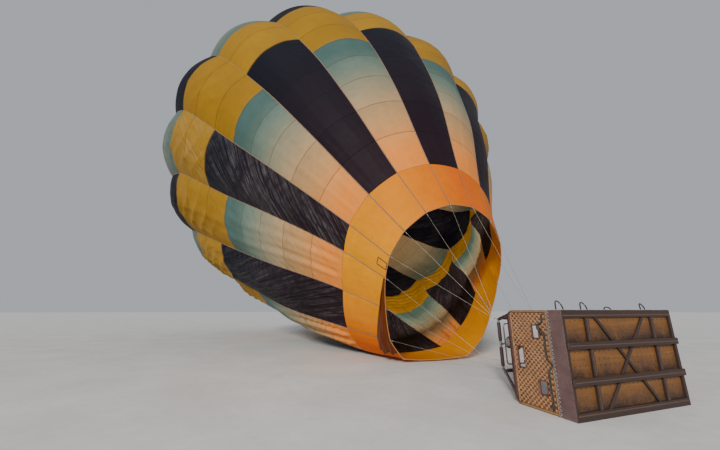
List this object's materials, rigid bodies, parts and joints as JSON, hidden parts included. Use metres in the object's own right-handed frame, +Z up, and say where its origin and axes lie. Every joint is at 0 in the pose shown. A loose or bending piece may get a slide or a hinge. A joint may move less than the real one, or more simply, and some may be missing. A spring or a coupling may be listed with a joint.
{
  "type": "hot air balloon",
  "caption": "Hot air balloon being inflated: bulging gored envelope with mouth band and parachute vent, wired to a load frame with gimballed burners and a wicker basket on its side.",
  "frame": {"origin": "on the mount air, at the middle of the envelope, 14 m along the balloon from the load frame and 10 m above the ground", "axes": "+X along the ground from the basket to the crown, +Z up, +Y to the end of the basket away from the fuel cylinders"},
  "size_m": [25.6092, 21.5924, 21.1862],
  "materials": {
    "dark_fabric": "satin",
    "light_fabric": "satin",
    "band_fabric": "satin",
    "vent_fabric": "satin",
    "tape": "matte",
    "wire": "satin",
    "padding": "matte",
    "plywood": "satin",
    "dark_wood": "matte",
    "wicker": "satin",
    "skirt_leather": "matte",
    "rim_leather": "satin",
    "cylinder_metal": "satin",
    "steel": "satin",
    "burner_metal": "satin",
    "coil_metal": "satin"
  },
  "bodies": {
    "envelope": {"gore_01": "dark_fabric", "gore_02": "light_fabric", "gore_03": "dark_fabric", "gore_04": "light_fabric", "gore_05": "dark_fabric", "gore_06": "light_fabric", "gore_07": "dark_fabric", "gore_08": "light_fabric", "gore_09": "dark_fabric", "gore_10": "light_fabric", "gore_11": "dark_fabric", "gore_12": "light_fabric", "gore_13": "dark_fabric", "gore_14": "light_fabric", "gore_15": "dark_fabric", "gore_16": "light_fabric", "mouth_band": "band_fabric", "crown_ring": "tape", "wires_upper_near": "wire", "wires_upper_far": "wire", "wires_lower_near": "wire", "wires_lower_far": "wire"},
    "vent": {"vent_disc": "vent_fabric"},
    "basket": {"floor_board": "plywood", "base_frame": "dark_wood", "runner_upper": "dark_wood", "runner_lower": "dark_wood", "wall_upper": "wicker", "wall_lower": "wicker", "wall_near": "wicker", "wall_far": "wicker", "leather_skirt": "skirt_leather", "rim": "rim_leather", "partition": "wicker", "cylinder_1": "cylinder_metal", "cylinder_2": "cylinder_metal", "cylinder_3": "cylinder_metal", "cylinder_4": "cylinder_metal", "upright_upper_near": "padding", "upright_upper_far": "padding", "upright_lower_near": "padding", "upright_lower_far": "padding", "load_frame": "steel"},
    "gimbal": {"gimbal": "steel"},
    "burner": {"burner_block": "burner_metal", "burner_can_near": "burner_metal", "burner_can_far": "burner_metal", "burner_coil_near": "coil_metal", "burner_coil_far": "coil_metal"}
  },
  "joints": [
    {"name": "basket_tilt", "type": "hinge", "parent": "envelope", "child": "basket", "pos_m": [-14, 0, -9.18], "axis": [0, 1, 0], "range_deg": [-34, 45], "deforming": ["wires_upper_near", "wires_upper_far", "wires_lower_near", "wires_lower_far"]},
    {"name": "gimbal_tilt", "type": "hinge", "parent": "basket", "child": "gimbal", "pos_m": [-14, 0, -9.18], "axis": [0, 1, 0], "range_deg": [-20, 20]},
    {"name": "burner_swing", "type": "hinge", "parent": "gimbal", "child": "burner", "pos_m": [-14, 0, -9.18], "axis": [0, 0, 1], "range_deg": [-20, 20]},
    {"name": "vent_open", "type": "slide", "parent": "envelope", "child": "vent", "axis": [-0.829, 0, -0.5592], "range_m": [0, 1.2], "stiffness_N_per_m": 60, "springref_m": -2}
  ]
}
